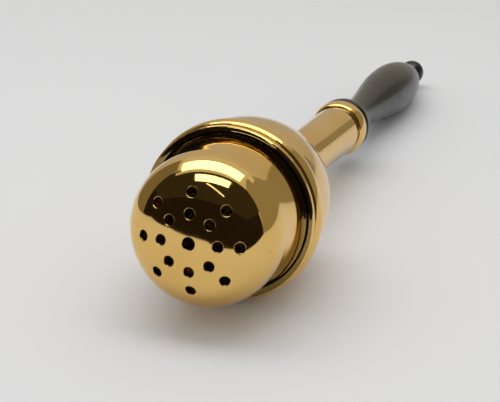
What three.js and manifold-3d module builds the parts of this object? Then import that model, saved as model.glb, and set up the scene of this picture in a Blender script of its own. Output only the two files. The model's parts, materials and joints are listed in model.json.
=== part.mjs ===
// Holy water sprinkler (aspergillum): a perforated brass cap that screws into a
// brass bowl, on a brass socket tube with a turned and blackened wooden handle.
//
// Every piece is round about one axis, the Y axis of the turned group. Y is the
// distance from the pole of the perforated dome towards the handle's finial, in
// millimetres, and each profile is a list of [radius, y] points. At the end the
// group is tilted, so that the object lies on the bead of its bowl and on the
// belly of its handle, as it does on a table.

import * as THREE from "three";
import { mergeVertices } from "three/addons/utils/BufferGeometryUtils.js";
import Module from "manifold-3d";

const wasm = await Module();
wasm.setup();

// Clearance between two pieces that fit into or onto each other
const fitGap = 0.3;

// Perforated cap, spun from brass sheet: a full-shouldered dome, then a drum that
// flares out to a crisp edge
const capRadius = 19.25;
const capShoulderRadius = 18.6;
const capWall = 1.2;
const domeDepth = 14.3;
const domePower = 2.7;
const drumLength = 8.4;
const drumFlarePower = 1.8;
const capCoveLength = 3.4;
const capCoveDepth = 0.45;
const capFlare = 0.65;

// Sprinkling holes, drilled square to the dome
const centreHoleRadius = 1.5;
const holeRadius = 1.25;
const innerCircleRadius = 6.9;
const outerCircleRadius = 11.75;
const holesPerCircle = 8;

// Screw thread between cap and bowl
const threadPitch = 2.5;
const threadTurns = 2;
const threadHeight = 0.9;
const threadRingWall = 1.5;
const threadRingInCap = 5.5;
const threadRelief = 0.9;

// Leather washer under the foot of the cap
const washerThickness = 0.8;
const washerInset = 0.7;

// Flange ring of the bowl: dished front, lip, groove and bead
const seatMargin = 0.1;
const dishWidth = 1.85;
const dishRise = 1.3;
const lipLength = 1.4;
const lipRound = 0.3;
const grooveDepth = 0.6;
const grooveWidth = 1.1;
const beadLength = 5;
const beadHeight = 0.95;

// Bowl, spun from brass sheet
const bowlStepIn = 0.25;
const bowlWall = 1.2;
const bowlLength = 36.3;

// Sponge that holds the water
const spongeSetBack = 6;

// Neck boss that closes the bowl and carries the stud
const bossRadius = 8.5;
const bossRim = 3;
const bossSpigotLength = 8;
const bossHoleDepth = 9;

// Socket tube
const socketFrontRadius = 6.6;
const socketRearRadius = 7.55;
const socketWall = 0.9;
const socketLength = 52.7;

// Ferrule ring with its bead
const ferruleSpigotLength = 8;
const ferruleWall = 0.8;
const ferruleGrooveDepth = 0.6;
const ferruleGrooveWidth = 2.9;
const ferruleBeadLength = 6.6;
const ferruleBeadHeight = 1.05;

// Stud with its washer and nut
const studRadius = 2;
const studInHandle = 28;
const studWasherRadius = 4.6;
const studWasherThickness = 0.8;
const nutAcrossFlats = 7;
const nutThickness = 3.2;

// Wooden handle
const tenonLength = 14;
const shoulderRadius = 8.5;
const shoulderLength = 2;
const handleNeckRadius = 4.9;
const handleCoveLength = 13.2;
const neckToBelly = 51.5;
const bellyRadius = 8.7;
const bellyToTip = 38;
const finialNeckRadius = 3;
const finialNeckLength = 1.4;
const finialRadius = 4.5;
const finialHalfLength = 4.8;
const finialFlatRadius = 1.8;

// Facets round each kind of piece
const headFacets = 40;
const handleFacets = 32;
const smallFacets = 16;
const holeFacets = 12;

// Radii that follow from the fits
const capBore = capRadius - capWall;
const capFootRadius = capRadius + capFlare;
const threadRadius = capBore - fitGap;
const threadCore = threadRadius - threadHeight;
const femaleRoot = threadRadius + fitGap;
const femaleTip = threadCore + fitGap;
const washerBore = threadRadius + fitGap;
const washerRadius = capFootRadius - washerInset;
const pocketRadius = washerRadius + fitGap;
const dishStart = capFootRadius + seatMargin;
const lipRadius = dishStart + dishWidth;
const bowlRadius = lipRadius - bowlStepIn;
const bowlBore = bowlRadius - bowlWall;
const flangeSpigotRadius = bowlBore - fitGap;
const socketBore = socketFrontRadius - socketWall;
const bossSpigotRadius = socketBore - fitGap;
const ferruleSpigotRadius = socketBore - fitGap;
const ferruleBore = ferruleSpigotRadius - ferruleWall;
const tenonRadius = ferruleBore - fitGap;
const studHole = studRadius + fitGap;

// Places along the axis, from the cap to the flange
const drumEnd = domeDepth + drumLength;
const capFoot = drumEnd + capCoveLength;
const seatY = capFoot + fitGap;
const pocketFloor = seatY + washerThickness + fitGap;
const lipY = seatY - dishRise;
const grooveStart = lipY + lipLength;
const beadStart = grooveStart + grooveWidth;
const flangeBack = beadStart + beadLength;
const bowlFront = flangeBack + fitGap;

// The two thread ridges lie half a pitch apart, so they run between each other.
const threadRootWidth = 0.44 * threadPitch;
const threadTipWidth = 0.24 * threadPitch;
const threadSunk = 0.3;
const maleThreadStart = pocketFloor + threadRootWidth / 2 + fitGap;
const femaleThreadStart = maleThreadStart + threadPitch / 2;
const threadLength = threadPitch * threadTurns;
const threadRingBack = maleThreadStart + threadLength + threadRootWidth / 2 + fitGap;
const flangeSpigotEnd = femaleThreadStart + threadLength + threadRootWidth / 2 + threadRelief;

// A bowl surface's distance along the axis at a radius
function bowlSurfaceY(radius, equator, length) {
  return bowlFront + length * Math.sqrt(1 - (radius / equator) ** 2);
}
const bowlOutsideY = (radius) => bowlSurfaceY(radius, bowlRadius, bowlLength);
const bowlInsideY = (radius) => bowlSurfaceY(radius, bowlBore, bowlLength - bowlWall);

// Places along the axis, from the neck to the handle
const bossShoulder = bowlInsideY(bossRadius) - fitGap;
const bossFront = bossShoulder - bossRim;
const bossBack = bowlOutsideY(socketBore) + bossSpigotLength;
const bossHoleBottom = bossBack - bossHoleDepth;
const spongeFront = flangeSpigotEnd + spongeSetBack;
const spongeBack = bossFront - fitGap;
const socketEnd = bowlOutsideY(socketBore) + fitGap + socketLength;
const ferruleShoulder = socketEnd + fitGap;
const ferruleBeadStart = ferruleShoulder + ferruleGrooveWidth;
const ferruleEnd = ferruleBeadStart + ferruleBeadLength;
const handleShoulder = ferruleEnd + fitGap;
const handleNeckY = handleShoulder + shoulderLength + handleCoveLength;
const bellyY = handleNeckY + neckToBelly;

// Finishes, as the photograph shows them
const finishes = {
  polishedBrass: { color: 0xc9a25f, roughness: 0.12, metalness: 1 },
  plainBrass: { color: 0xb08d4c, roughness: 0.35, metalness: 1 },
  steel: { color: 0xa7a9ac, roughness: 0.35, metalness: 1 },
  blackenedWood: { color: 0x1e1815, roughness: 0.25, metalness: 0 },
  leather: { color: 0x6b4226, roughness: 0.8, metalness: 0 },
  sponge: { color: 0xd9bd72, roughness: 0.95, metalness: 0 },
};

// Points from start to end, where place gives the point at a share of the way
function along(steps, place) {
  return Array.from({ length: steps + 1 }, (_, i) => place(i / steps));
}

// A quarter of an ellipse about [0, centreY], between two angles from the axis
function ellipseArc(centreY, radial, axial, from, to, steps) {
  return along(steps, (t) => {
    const angle = from + (to - from) * t;
    return [radial * Math.sin(angle), centreY + axial * Math.cos(angle)];
  });
}

// A dome whose shoulder is fuller than an ellipse's. A share of 0 is its pole, and
// 1 its edge, which lies where the drum starts.
function domeArc(radius, depth, from, to, steps) {
  return along(steps, (t) => {
    const angle = ((from + (to - from) * t) * Math.PI) / 2;
    const across = Math.abs(Math.sin(angle)) ** (2 / domePower);
    const down = Math.abs(Math.cos(angle)) ** (2 / domePower);
    return [radius * across, domeDepth - depth * down];
  });
}

// A half-round bead that stands on a cylinder
function beadArc(baseRadius, height, startY, length, steps) {
  return along(steps, (t) => [
    baseRadius + height * Math.sin(Math.PI * t),
    startY + (length * (1 - Math.cos(Math.PI * t))) / 2,
  ]);
}

// A smooth swell from one radius to another, level at both ends
function swell(fromRadius, toRadius, startY, length, steps) {
  return along(steps, (t) => [
    fromRadius + ((toRadius - fromRadius) * (1 - Math.cos(Math.PI * t))) / 2,
    startY + length * t,
  ]);
}

// Turns a profile that starts and ends on the axis, with a facet facing down
function turned(profile, facets) {
  const points = profile.map(([radius, y]) => new THREE.Vector2(radius, y));
  return new THREE.LatheGeometry(points, facets, Math.PI / facets);
}

// Turns a ring, whose profile closes on itself
function turnedRing(profile, facets) {
  return turned([...profile, profile[0]], facets);
}

function toSolid(geometry) {
  const bare = geometry.clone();
  bare.deleteAttribute("normal");
  bare.deleteAttribute("uv");
  const merged = mergeVertices(bare, 1e-3);
  return new wasm.Manifold(
    new wasm.Mesh({
      numProp: 3,
      vertProperties: merged.attributes.position.array,
      triVerts: new Uint32Array(merged.index.array),
    }),
  );
}

function toGeometry(solid) {
  const mesh = solid.getMesh();
  const geometry = new THREE.BufferGeometry();
  geometry.setAttribute("position", new THREE.BufferAttribute(mesh.vertProperties, 3));
  geometry.setIndex(new THREE.BufferAttribute(mesh.triVerts, 1));
  geometry.computeVertexNormals();
  return geometry;
}

// A thread's ridge: a trapezoid swept along a helix, whose height runs out over
// an eighth of a turn at each end. The root side is sunk into the wall.
function threadRidge(rootRadius, tipRadius, startY) {
  const steps = Math.round(threadTurns * headFacets);
  const runOut = headFacets / 8;
  const positions = [];
  const indices = [];
  for (let i = 0; i <= steps; i++) {
    const angle = (2 * Math.PI * i) / headFacets + Math.PI / headFacets;
    const y = startY + (threadPitch * i) / headFacets;
    const rise = Math.min(1, (i + 0.1) / runOut, (steps - i + 0.1) / runOut);
    const tip = rootRadius + (tipRadius - rootRadius) * rise;
    const section = [
      [rootRadius, y - threadRootWidth / 2],
      [tip, y - threadTipWidth / 2],
      [tip, y + threadTipWidth / 2],
      [rootRadius, y + threadRootWidth / 2],
    ];
    for (const [radius, height] of section) {
      positions.push(radius * Math.sin(angle), height, radius * Math.cos(angle));
    }
  }
  for (let i = 0; i < steps; i++) {
    for (let side = 0; side < 4; side++) {
      const a = 4 * i + side;
      const b = 4 * i + ((side + 1) % 4);
      indices.push(a, a + 4, b, b, a + 4, b + 4);
    }
  }
  const last = 4 * steps;
  indices.push(0, 1, 2, 0, 2, 3, last, last + 2, last + 1, last, last + 3, last + 2);
  // An inward ridge has its section the other way round, so its faces are flipped.
  if (tipRadius < rootRadius) indices.reverse();
  const geometry = new THREE.BufferGeometry();
  geometry.setAttribute("position", new THREE.Float32BufferAttribute(positions, 3));
  geometry.setIndex(indices);
  return geometry;
}

// A drill through the dome where it is at this radius, square to its surface.
// The spoke's angle is counted from straight up.
function domeDrill(circleRadius, drillRadius, spoke) {
  const share = circleRadius / capShoulderRadius;
  const drop = (1 - share ** domePower) ** (1 / domePower);
  const y = domeDepth * (1 - drop);
  const slope = (domeDepth / capShoulderRadius) * (share / drop) ** (domePower - 1);
  const lean = Math.atan(slope);
  const length = 6 * capWall;
  const drill = new THREE.CylinderGeometry(drillRadius, drillRadius, length, holeFacets);
  drill.rotateX(-lean);
  drill.translate(0, y, circleRadius);
  drill.rotateY(spoke);
  return toSolid(drill);
}

function sprinklerCap() {
  const outside = [
    ...domeArc(capShoulderRadius, domeDepth, 0, 1, 9),
    ...along(3, (t) => [
      capShoulderRadius + (capRadius - capShoulderRadius) * t ** drumFlarePower,
      domeDepth + drumLength * t,
    ]).slice(1),
    ...along(5, (t) => [
      capRadius - capCoveDepth + (capFlare + capCoveDepth) * t ** 2,
      drumEnd + 0.1 + (capCoveLength - 0.1) * t,
    ]),
  ];
  const inside = [
    [capBore, capFoot],
    [capBore, capFoot - threadRingInCap - 2 * fitGap],
    ...domeArc(capShoulderRadius - capWall, domeDepth - capWall, 1, 0, 7),
  ];
  let solid = toSolid(turned([...outside, ...inside], headFacets));
  const drills = [domeDrill(0, centreHoleRadius, 0)];
  for (let i = 0; i < holesPerCircle; i++) {
    const spoke = (2 * Math.PI * i) / holesPerCircle;
    drills.push(domeDrill(innerCircleRadius, holeRadius, spoke));
    drills.push(domeDrill(outerCircleRadius, holeRadius, spoke));
  }
  for (const drill of drills) solid = solid.subtract(drill);
  return toGeometry(solid);
}

function capThreadRing() {
  const bore = threadCore - threadRingWall;
  const front = capFoot - threadRingInCap;
  const plainEnd = seatY;
  const blank = turnedRing(
    [
      [bore, front],
      [threadRadius, front],
      [threadRadius, plainEnd],
      [threadCore, plainEnd + threadHeight],
      [threadCore, threadRingBack],
      [bore, threadRingBack],
    ],
    headFacets,
  );
  const ridge = threadRidge(threadCore - threadSunk, threadRadius, maleThreadStart);
  return toGeometry(toSolid(blank).add(toSolid(ridge)));
}

function sealWasher() {
  const back = seatY + washerThickness;
  return turnedRing(
    [
      [washerBore, seatY],
      [washerRadius, seatY],
      [washerRadius, back],
      [washerBore, back],
    ],
    headFacets,
  );
}

function bowlFlangeRing() {
  const blank = turnedRing(
    [
      [femaleRoot, pocketFloor],
      [pocketRadius, pocketFloor],
      [pocketRadius, seatY],
      [dishStart, seatY],
      [lipRadius - lipRound, lipY],
      [lipRadius, lipY + lipRound],
      [lipRadius, grooveStart],
      [lipRadius - grooveDepth, grooveStart],
      [lipRadius - grooveDepth, beadStart],
      ...beadArc(bowlRadius, beadHeight, beadStart, beadLength, 8),
      [flangeSpigotRadius, flangeBack],
      [flangeSpigotRadius, flangeSpigotEnd],
      [femaleRoot, flangeSpigotEnd],
    ],
    headFacets,
  );
  const ridge = threadRidge(femaleRoot + threadSunk, femaleTip, femaleThreadStart);
  return toGeometry(toSolid(blank).add(toSolid(ridge)));
}

function rearBowl() {
  const outsideEnd = Math.asin(socketBore / bowlRadius);
  const insideEnd = Math.asin(socketBore / bowlBore);
  const quarter = Math.PI / 2;
  return turnedRing(
    [
      ...ellipseArc(bowlFront, bowlRadius, bowlLength, quarter, outsideEnd, 9),
      ...ellipseArc(bowlFront, bowlBore, bowlLength - bowlWall, insideEnd, quarter, 8),
    ],
    headFacets,
  );
}

function sponge() {
  const side = bowlBore - fitGap;
  const reach = bowlLength - bowlWall - fitGap;
  const fromAngle = Math.acos((spongeFront - bowlFront) / reach);
  const toAngle = Math.acos((spongeBack - bowlFront) / reach);
  return turned(
    [
      [0, spongeFront],
      ...ellipseArc(bowlFront, side, reach, fromAngle, toAngle, 6),
      [0, spongeBack],
    ],
    handleFacets,
  );
}

function neckBoss() {
  return turned(
    [
      [0, bossFront],
      [bossRadius, bossFront],
      [bossRadius, bossShoulder],
      [bossSpigotRadius, bowlInsideY(bossSpigotRadius) - fitGap],
      [bossSpigotRadius, bossBack],
      [studHole, bossBack],
      [studHole, bossHoleBottom],
      [0, bossHoleBottom],
    ],
    handleFacets,
  );
}

function socketTube() {
  return turnedRing(
    [
      [socketBore, bowlOutsideY(socketBore) + fitGap],
      [socketFrontRadius, bowlOutsideY(socketFrontRadius) + fitGap],
      [socketRearRadius, socketEnd],
      [socketBore, socketEnd],
    ],
    handleFacets,
  );
}

function ferruleRing() {
  const grooveRadius = socketRearRadius - ferruleGrooveDepth;
  return turnedRing(
    [
      [ferruleBore, ferruleShoulder - ferruleSpigotLength],
      [ferruleSpigotRadius, ferruleShoulder - ferruleSpigotLength],
      [ferruleSpigotRadius, ferruleShoulder],
      [grooveRadius, ferruleShoulder],
      [grooveRadius, ferruleBeadStart],
      ...beadArc(socketRearRadius, ferruleBeadHeight, ferruleBeadStart, ferruleBeadLength, 8),
      [ferruleBore, ferruleEnd],
    ],
    handleFacets,
  );
}

function studWasher() {
  const front = bossBack + fitGap;
  const back = front + studWasherThickness;
  return turnedRing(
    [
      [studHole, front],
      [studWasherRadius, front],
      [studWasherRadius, back],
      [studHole, back],
    ],
    smallFacets,
  );
}

function studNut() {
  const corner = nutAcrossFlats / Math.sqrt(3);
  const outline = along(5, (t) => {
    const angle = (t * 5 * Math.PI) / 3;
    return new THREE.Vector2(corner * Math.cos(angle), corner * Math.sin(angle));
  });
  const shape = new THREE.Shape(outline);
  shape.holes.push(new THREE.Path().absarc(0, 0, studHole, 0, 2 * Math.PI, true));
  const nut = new THREE.ExtrudeGeometry(shape, {
    depth: nutThickness,
    bevelEnabled: false,
    curveSegments: smallFacets,
  });
  nut.rotateX(-Math.PI / 2);
  return nut.translate(0, bossBack + studWasherThickness + 2 * fitGap, 0);
}

function handleStud() {
  const front = bossHoleBottom + fitGap;
  const back = handleShoulder + studInHandle;
  return turned(
    [
      [0, front],
      [studRadius, front],
      [studRadius, back],
      [0, back],
    ],
    smallFacets,
  );
}

// The handle outside its socket: shoulder, cove, belly and finial
function handleOutline() {
  const tipShare = Math.sqrt(1 - finialNeckRadius / bellyRadius);
  const finialNeckY = bellyY + bellyToTip * tipShare;
  const neckAngle = Math.asin(finialNeckRadius / finialRadius);
  const finialStart = finialNeckY + finialNeckLength;
  const finialY = finialStart + finialHalfLength * Math.cos(neckAngle);
  const flatAngle = Math.asin(finialFlatRadius / finialRadius);
  return [
    ...beadArc(shoulderRadius - lipRound, lipRound, handleShoulder, shoulderLength, 4),
    ...swell(
      shoulderRadius - lipRound,
      handleNeckRadius,
      handleShoulder + shoulderLength,
      handleCoveLength,
      6,
    ).slice(1),
    ...swell(handleNeckRadius, bellyRadius, handleNeckY, neckToBelly, 9).slice(1),
    ...along(8, (t) => {
      const share = tipShare * Math.sin((t * Math.PI) / 2);
      return [bellyRadius * (1 - share ** 2), bellyY + bellyToTip * share];
    }).slice(1),
    ...ellipseArc(finialY, finialRadius, -finialHalfLength, neckAngle, Math.PI / 2, 3),
    ...ellipseArc(finialY, finialRadius, finialHalfLength, Math.PI / 2, flatAngle, 3).slice(1),
  ];
}

function woodHandle() {
  const outline = handleOutline();
  const endY = outline.at(-1)[1];
  const tenonFront = handleShoulder - tenonLength;
  const holeBottom = handleShoulder + studInHandle + fitGap;
  return turned(
    [
      [0, holeBottom],
      [studHole, holeBottom],
      [studHole, tenonFront],
      [tenonRadius, tenonFront],
      [tenonRadius, handleShoulder],
      ...outline,
      [0, endY],
    ],
    handleFacets,
  );
}

const turnedPieces = new THREE.Group();

function addPiece(name, geometry, finish) {
  const mesh = new THREE.Mesh(geometry, new THREE.MeshStandardMaterial(finishes[finish]));
  mesh.name = name;
  turnedPieces.add(mesh);
}

addPiece("sprinkler_cap", sprinklerCap(), "polishedBrass");
addPiece("cap_thread_ring", capThreadRing(), "plainBrass");
addPiece("seal_washer", sealWasher(), "leather");
addPiece("bowl_flange_ring", bowlFlangeRing(), "polishedBrass");
addPiece("rear_bowl", rearBowl(), "polishedBrass");
addPiece("sponge", sponge(), "sponge");
addPiece("neck_boss", neckBoss(), "plainBrass");
addPiece("socket_tube", socketTube(), "polishedBrass");
addPiece("ferrule_ring", ferruleRing(), "polishedBrass");
addPiece("stud_washer", studWasher(), "steel");
addPiece("stud_nut", studNut(), "steel");
addPiece("handle_stud", handleStud(), "steel");
addPiece("wood_handle", woodHandle(), "blackenedWood");

// The floor touches the bowl's bead and the handle's belly. Its slope against
// the axis is that of the line below both, through their downward facets.
const beadFeet = beadArc(bowlRadius, beadHeight, beadStart, beadLength, 8);
const footOf = ([radius, y], facets) => [radius * Math.cos(Math.PI / facets), y];
const slopeUnder = (handlePoint) => {
  const [handleFoot, handleY] = footOf(handlePoint, handleFacets);
  const slopes = beadFeet.map((beadPoint) => {
    const [beadFoot, beadY] = footOf(beadPoint, headFacets);
    return (beadFoot - handleFoot) / (handleY - beadY);
  });
  return Math.max(...slopes);
};
const restSlope = Math.min(...handleOutline().map(slopeUnder));
turnedPieces.rotation.x = -Math.atan(restSlope);

// The origin is on the floor, below the middle of the object's box.
const box = new THREE.Box3().setFromObject(turnedPieces, true);
turnedPieces.position.y = -(box.min.y + box.max.y) / 2;
turnedPieces.position.z = -box.min.z;

const aspergillum = new THREE.Group();
aspergillum.add(turnedPieces);

export default aspergillum;
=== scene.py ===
"""Dresses a hand-held holy water sprinkler: mirror-polished brass, ebonised wood and a plain pale studio.

The pieces are turned about the sprinkler's own axis as on a lathe. In this script Y is the distance
from the pole of the perforated dome towards the handle's finial, until a piece is seated in the frame.
"""

import json
import math
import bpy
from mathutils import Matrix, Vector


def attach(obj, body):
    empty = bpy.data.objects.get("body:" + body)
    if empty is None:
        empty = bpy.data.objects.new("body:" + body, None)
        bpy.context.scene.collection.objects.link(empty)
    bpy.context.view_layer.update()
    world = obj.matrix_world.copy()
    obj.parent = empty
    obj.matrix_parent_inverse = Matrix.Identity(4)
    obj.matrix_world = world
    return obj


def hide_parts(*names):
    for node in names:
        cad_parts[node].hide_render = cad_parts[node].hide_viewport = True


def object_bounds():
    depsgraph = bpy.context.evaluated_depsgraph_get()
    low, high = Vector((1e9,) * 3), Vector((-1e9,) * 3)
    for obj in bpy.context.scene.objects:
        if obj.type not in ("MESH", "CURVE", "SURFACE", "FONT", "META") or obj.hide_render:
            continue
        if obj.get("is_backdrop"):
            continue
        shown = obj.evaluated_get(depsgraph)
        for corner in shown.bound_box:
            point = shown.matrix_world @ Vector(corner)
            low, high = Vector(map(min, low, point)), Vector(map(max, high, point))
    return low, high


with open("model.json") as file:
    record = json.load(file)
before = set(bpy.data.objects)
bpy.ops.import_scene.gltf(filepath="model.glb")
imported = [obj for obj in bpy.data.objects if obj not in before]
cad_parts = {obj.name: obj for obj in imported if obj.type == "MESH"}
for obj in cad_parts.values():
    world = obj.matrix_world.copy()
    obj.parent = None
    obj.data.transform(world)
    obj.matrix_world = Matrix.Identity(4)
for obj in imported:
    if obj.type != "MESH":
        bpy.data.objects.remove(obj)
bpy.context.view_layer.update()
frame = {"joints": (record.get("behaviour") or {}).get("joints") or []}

from types import SimpleNamespace

import bpy
from mathutils import Vector

bl_info = {
    "name": "Holy Water Sprinkler",
    "version": (1, 0, 0),
    "blender": (4, 5, 0),
    "location": "View3D > Sidebar > Sprinkler",
    "description": "A brass holy water sprinkler with a screw cap and a turned wooden handle",
    "category": "Add Mesh",
}

MM = 0.001

# The cap's screw joint gives the axis of the sprinkler and the place of the cap's foot on it.
SCREW = next(joint for joint in frame["joints"] if joint["name"] == "cap_turn")
OUTWARD = Vector(SCREW["axis"]).normalized()
CAP_FOOT = Vector(SCREW["pos_m"])
TILT = math.atan2(-OUTWARD.z, -OUTWARD.y)

HOLDER = "holder"
SEAL = "seal"
CAP = "cap"

# Facets round a piece
HEAD_FACETS = 224
HANDLE_FACETS = 160
SMALL_FACETS = 64
HOLE_FACETS = 48
THREAD_FACETS = 96

SMOOTH_ANGLE = math.radians(35)
DOUBLE = 0.0005 * MM

THREAD_PHASE = math.radians(4.5)
THREAD_SUNK = 0.3 * MM
THREAD_ROUND = 0.12 * MM
STUD_PITCH = 0.7 * MM
STUD_THREAD_DEPTH = 0.35 * MM
STUD_FACETS = 24
LIP_ROUND = 0.3 * MM
HOLE_ROUND = 0.25 * MM
SKIN_REACH = 0.03 * MM
SOLDER_FILLET = 0.6 * MM
SPONGE_VOXEL = 0.5 * MM

# Studio
FLOOR_SIZE = 6
# Floor colour at the back: painted shade of the light's falloff
FLOOR_FAR_SHADE = "#DCDCDC"
APRON_LIFT = 0.001
TENT_HEIGHT = 0.55
HEAD_MIDDLE = Vector((0, -0.106, 0.024))
WORLD_LIGHT = 0.58
CAMERA_LENS = 93.6
CAMERA_PLACE = (0.101795, -0.368585, 0.136243)
CAMERA_AZIMUTH = math.radians(19.2025)
CAMERA_DOWN = math.radians(20.5538)

# The gap left at the soldered and glued joints that show, where the CAD leaves room between solids
TIGHT_GAP = 0.04 * MM


def length(name, millimetres, description):
    """A size in metres that a user can change, with its default given in millimetres."""
    return bpy.props.FloatProperty(
        name=name, description=description, default=millimetres * MM, min=0, precision=5, unit="LENGTH"
    )


def count(name, number, description):
    return bpy.props.IntProperty(name=name, description=description, default=number, min=1)


def power(name, number, description):
    return bpy.props.FloatProperty(name=name, description=description, default=number, min=1)


def colour(name, hex_value, description):
    return bpy.props.FloatVectorProperty(
        name=name, description=description, default=linear(hex_value), size=4, min=0, max=1, subtype="COLOR"
    )


def linear(hex_value):
    """Turns an sRGB hex colour into the linear one that a shader takes."""
    channels = []
    for start in (1, 3, 5):
        share = int(hex_value[start:start + 2], 16) / 255
        channels.append(share / 12.92 if share <= 0.04045 else ((share + 0.055) / 1.055) ** 2.4)
    return (*channels, 1)


class SprinklerHeadSizes(bpy.types.PropertyGroup):
    """Sizes of the perforated cap, its thread and the bowl."""

    fit_gap: length("Fit gap", 0.3, "Clearance between two pieces that fit into each other")
    cap_radius: length("Cap radius", 19.25, "Radius of the crisp edge of the cap's drum")
    cap_shoulder: length("Cap shoulder", 18.6, "Radius of the cap where its dome meets its drum")
    cap_wall: length("Cap wall", 1.2, "Thickness of the spun sheet of the cap")
    dome_depth: length("Dome depth", 14.3, "From the pole of the dome to its drum")
    dome_power: power("Dome fullness", 2.7, "2 makes the dome an ellipse, and more a fuller shoulder")
    drum_length: length("Drum length", 8.4, "Drum that flares out gently between dome and cove")
    drum_flare: power("Drum flare", 1.8, "1 makes the drum a cone, and more keeps its flare for its edge")
    cove_length: length("Cove length", 3.4, "Hollow band between the drum's edge and the foot")
    cove_depth: length("Cove depth", 0.45, "How far the cove is cut in behind the drum's edge")
    cap_flare: length("Cap flare", 0.65, "How far the cap's foot stands out past the drum")
    centre_hole: length("Centre hole radius", 1.5, "Radius of the hole at the pole")
    ring_hole: length("Ring hole radius", 1.25, "Radius of the holes on the two circles")
    inner_circle: length("Inner circle", 6.9, "Radius of the inner circle of holes")
    outer_circle: length("Outer circle", 11.75, "Radius of the outer circle of holes")
    holes_per_circle: count("Holes per circle", 8, "Holes on each of the two circles")
    thread_pitch: length("Thread pitch", 2.5, "Advance of the cap in one turn")
    thread_turns: count("Thread turns", 2, "Turns of the thread's ridge")
    thread_height: length("Thread height", 0.9, "Height of the thread's ridge")
    thread_ring_wall: length("Thread ring wall", 1.5, "Wall of the ring below the thread")
    thread_ring_in_cap: length("Ring in cap", 5.5, "Length of the thread ring inside the cap")
    thread_relief: length("Thread relief", 0.9, "Plain bore behind the female thread")
    washer_thickness: length("Washer thickness", 0.8, "Thickness of the leather washer")
    washer_inset: length("Washer inset", 0.7, "How far the washer stays inside the cap's foot")
    seat_margin: length("Seat margin", 0.1, "From the cap's foot to the start of the dish")
    dish_width: length("Dish width", 1.85, "Width of the dished front of the flange")
    dish_rise: length("Dish rise", 1.3, "How far the lip stands forward of the seat")
    lip_length: length("Lip length", 1.4, "Length of the lip along the axis")
    groove_depth: length("Groove depth", 0.6, "Depth of the groove behind the lip")
    groove_width: length("Groove width", 1.1, "Width of the groove behind the lip")
    bead_length: length("Bead length", 5, "Length of the flange's half-round bead")
    bead_height: length("Bead height", 0.95, "Height of the flange's half-round bead")
    bowl_step_in: length("Bowl step", 0.25, "How far the bowl lies inside the lip")
    bowl_wall: length("Bowl wall", 1.2, "Thickness of the spun sheet of the bowl")
    bowl_length: length("Bowl length", 36.3, "Half length of the ellipse that the bowl follows")
    sponge_set_back: length("Sponge set back", 6, "From the flange's spigot to the sponge")


class SprinklerHandleSizes(bpy.types.PropertyGroup):
    """Sizes of the neck, the socket, the ferrule and the wooden handle."""

    boss_radius: length("Boss radius", 8.5, "Radius of the boss that closes the neck")
    boss_rim: length("Boss rim", 3, "Thickness of the boss's rim")
    boss_spigot: length("Boss spigot", 8, "How far the boss reaches into the socket tube")
    boss_hole: length("Boss hole depth", 9, "Depth of the hole for the stud")
    socket_front: length("Socket front radius", 6.6, "Radius of the tube at the bowl")
    socket_rear: length("Socket rear radius", 7.55, "Radius of the tube at the ferrule")
    socket_wall: length("Socket wall", 0.9, "Wall of the tube at the bowl")
    socket_length: length("Socket length", 52.7, "Length of the tube")
    ferrule_spigot: length("Ferrule spigot", 8, "How far the ferrule reaches into the tube")
    ferrule_wall: length("Ferrule wall", 0.8, "Wall of the ferrule's spigot")
    ferrule_groove_depth: length("Ferrule groove depth", 0.6, "Depth of the groove before the bead")
    ferrule_groove_width: length("Ferrule groove width", 2.9, "Width of the groove before the bead")
    ferrule_bead_length: length("Ferrule bead length", 6.6, "Length of the half-round bead")
    ferrule_bead_height: length("Ferrule bead height", 1.05, "Height of the half-round bead")
    stud_radius: length("Stud radius", 2, "Radius of the stud")
    stud_in_handle: length("Stud in handle", 28, "How far the stud reaches into the wood")
    stud_washer: length("Stud washer radius", 4.6, "Radius of the washer under the nut")
    stud_washer_thickness: length("Stud washer thickness", 0.8, "Thickness of the washer")
    nut_flats: length("Nut across flats", 7, "Width of the nut across its flats")
    nut_thickness: length("Nut thickness", 3.2, "Thickness of the nut")
    tenon_length: length("Tenon length", 14, "How far the wood reaches into the ferrule")
    shoulder_radius: length("Shoulder radius", 8.5, "Radius of the handle's shoulder")
    shoulder_length: length("Shoulder length", 2, "Length of the shoulder's rounded rim")
    neck_radius: length("Neck radius", 4.9, "Thinnest radius of the handle")
    handle_cove: length("Handle cove", 13.2, "From the shoulder down to the neck")
    neck_to_belly: length("Neck to belly", 51.5, "From the neck to the thickest place")
    belly_radius: length("Belly radius", 8.7, "Thickest radius of the handle")
    belly_to_tip: length("Belly to tip", 38, "From the thickest place to where its curve ends")
    finial_neck_radius: length("Finial neck radius", 3, "Radius of the neck before the finial")
    finial_neck_length: length("Finial neck length", 1.4, "Length of the neck before the finial")
    finial_radius: length("Finial radius", 4.5, "Radius of the button finial")
    finial_half: length("Finial half length", 4.8, "Half the length of the button finial")
    finial_flat: length("Finial flat radius", 1.8, "Radius of the flat where it was parted off")


class SprinklerColours(bpy.types.PropertyGroup):
    """Colours of the finishes."""

    brass: colour("Brass", "#ECC478", "Mirror-polished brass")
    # Pale olive brass for the coves and grooves: painted shade and reflection
    brass_deep: colour("Brass, deep", "#E4BB6C", "Where the lacquer lies thicker on the brass")
    brass_hollow_shade: colour("Brass, filmed", "#C4B48A", "Olive film of tarnish in coves and grooves")
    turned_brass: colour("Turned brass", "#D9B56C", "Brass inside, as it came off the lathe")
    tarnish: colour("Tarnish", "#6E4A22", "Tarnish in pits")
    steel: colour("Steel", "#B9BBBE", "Zinc-plated steel of stud, nut and washer")
    ebony: colour("Ebonised wood", "#0E0B0A", "Blackened wood of the handle")
    ebony_grain: colour("Wood grain", "#1E1611", "Lighter grain that shows through the stain")
    leather: colour("Leather", "#6B4226", "Oiled leather of the washer")
    sponge: colour("Sponge", "#D9BD72", "Damp cellulose sponge")
    floor: colour("Floor", "#ECECED", "Pale studio floor")


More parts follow.
